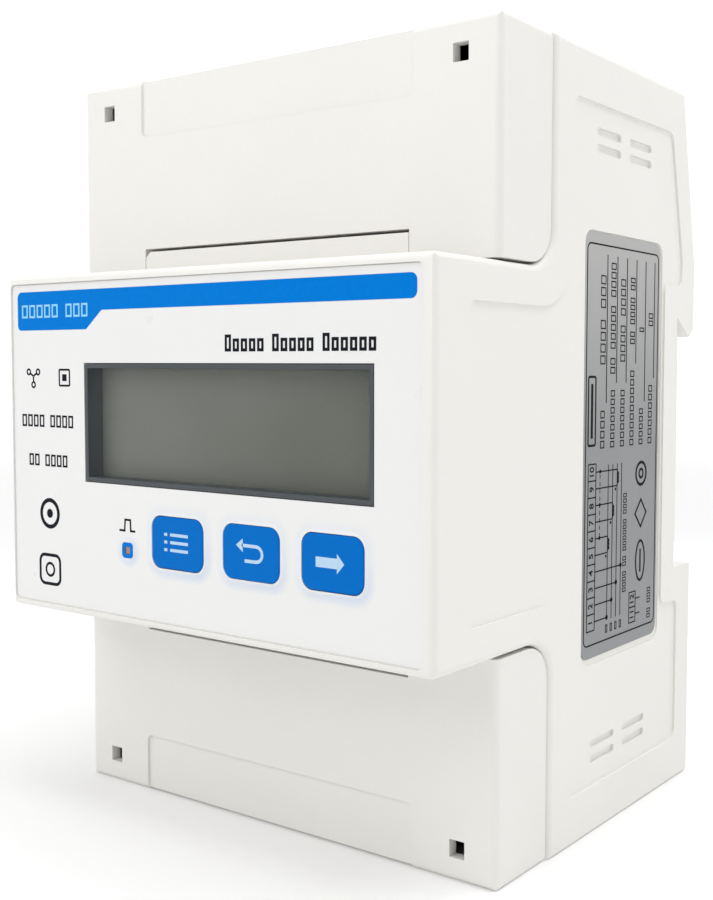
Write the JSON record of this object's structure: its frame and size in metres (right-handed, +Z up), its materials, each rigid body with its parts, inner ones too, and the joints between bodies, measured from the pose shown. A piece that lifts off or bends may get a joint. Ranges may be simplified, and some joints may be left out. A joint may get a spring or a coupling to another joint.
{
  "type": "smart electric meter",
  "caption": "Rail-mounted three-phase electric meter: white case, raised front with display and keys, pull-off terminal covers above and below, rail latch behind.",
  "frame": {"origin": "middle of the raised face that rests on the rail, at mid height of the case", "axes": "+Y out of the back towards the rail and wall, so the front faces -Y; +Z up along the case's height; +X to the right of someone facing the meter"},
  "size_m": [0.072, 0.0655, 0.1],
  "materials": {
    "shell_plastic": "fine spark-eroded texture",
    "cover_plastic": "fine spark-eroded texture",
    "panel_film": "semi-gloss printed film",
    "clear_plastic": "clear",
    "dark_plastic": "satin",
    "lcd_glass": "semi-gloss reflective display",
    "diffuser_plastic": "satin",
    "grey_rubber": "matt",
    "key_plastic": "satin embossed key",
    "black_plastic": "moulded",
    "led_plastic": "diffused",
    "circuit_board": "solder mask",
    "steel_fasteners": "zinc plated",
    "connector_plastic": "moulded",
    "transformer_ferrite": "ferrite and tape",
    "capacitor_sleeve": "shrink sleeve",
    "sensor_potting": "epoxy",
    "varistor_coating": "epoxy",
    "resistor_ceramic": "ceramic chip",
    "terminal_plastic": "moulded",
    "clamp_brass": "nickel-free brass",
    "tinned_copper": "tinned",
    "latch_plastic": "moulded",
    "spring_steel": "drawn wire",
    "label_foil": "satin printed foil"
  },
  "bodies": {
    "case": {"rear_base": "shell_plastic", "front_housing": "shell_plastic", "front_panel": "panel_film", "display_window": "clear_plastic", "display_bezel": "dark_plastic", "lcd_glass": "lcd_glass", "lcd_backlight": "diffuser_plastic", "elastomer_strips": "grey_rubber", "tact_switches": "black_plastic", "pulse_led": "led_plastic", "light_pipe": "clear_plastic", "display_board": "circuit_board", "display_screws": "steel_fasteners", "main_board": "circuit_board", "board_screws": "steel_fasteners", "board_connectors": "connector_plastic", "ribbon_cable": "grey_rubber", "power_transformer": "transformer_ferrite", "capacitors": "capacitor_sleeve", "current_sensors": "sensor_potting", "metering_chip": "black_plastic", "processor_chip": "black_plastic", "optocouplers": "black_plastic", "varistors": "varistor_coating", "divider_resistors": "resistor_ceramic", "terminal_block_top": "terminal_plastic", "terminal_block_bottom": "terminal_plastic", "terminal_clamps_top": "clamp_brass", "terminal_clamps_bottom": "clamp_brass", "terminal_screws_top": "steel_fasteners", "terminal_screws_bottom": "steel_fasteners", "terminal_links_top": "tinned_copper", "terminal_links_bottom": "tinned_copper", "latch_spring": "spring_steel", "rating_label": "label_foil", "case_screws": "steel_fasteners"},
    "top_cover": {"top_cover": "cover_plastic"},
    "bottom_cover": {"bottom_cover": "cover_plastic"},
    "key_set": {"key_set": "key_plastic"},
    "key_esc": {"key_esc": "key_plastic"},
    "key_arrow": {"key_arrow": "key_plastic"},
    "din_latch": {"din_latch": "latch_plastic"}
  },
  "joints": [
    {"name": "top_cover_pull", "type": "slide", "parent": "case", "child": "top_cover", "axis": [0, -1, 0], "range_m": [0, 0.03]},
    {"name": "bottom_cover_pull", "type": "slide", "parent": "case", "child": "bottom_cover", "axis": [0, -1, 0], "range_m": [0, 0.03]},
    {"name": "key_set_press", "type": "slide", "parent": "case", "child": "key_set", "axis": [0, 1, 0], "range_m": [0, 0.0004], "stiffness_N_per_m": 1500, "springref_m": -0.0003},
    {"name": "key_esc_press", "type": "slide", "parent": "case", "child": "key_esc", "axis": [0, 1, 0], "range_m": [0, 0.0004], "stiffness_N_per_m": 1500, "springref_m": -0.0003},
    {"name": "key_arrow_press", "type": "slide", "parent": "case", "child": "key_arrow", "axis": [0, 1, 0], "range_m": [0, 0.0004], "stiffness_N_per_m": 1500, "springref_m": -0.0003},
    {"name": "din_latch_slide", "type": "slide", "parent": "case", "child": "din_latch", "axis": [0, 0, -1], "range_m": [0, 0.0035], "stiffness_N_per_m": 1500, "springref_m": -0.002, "deforming": ["latch_spring"]}
  ]
}
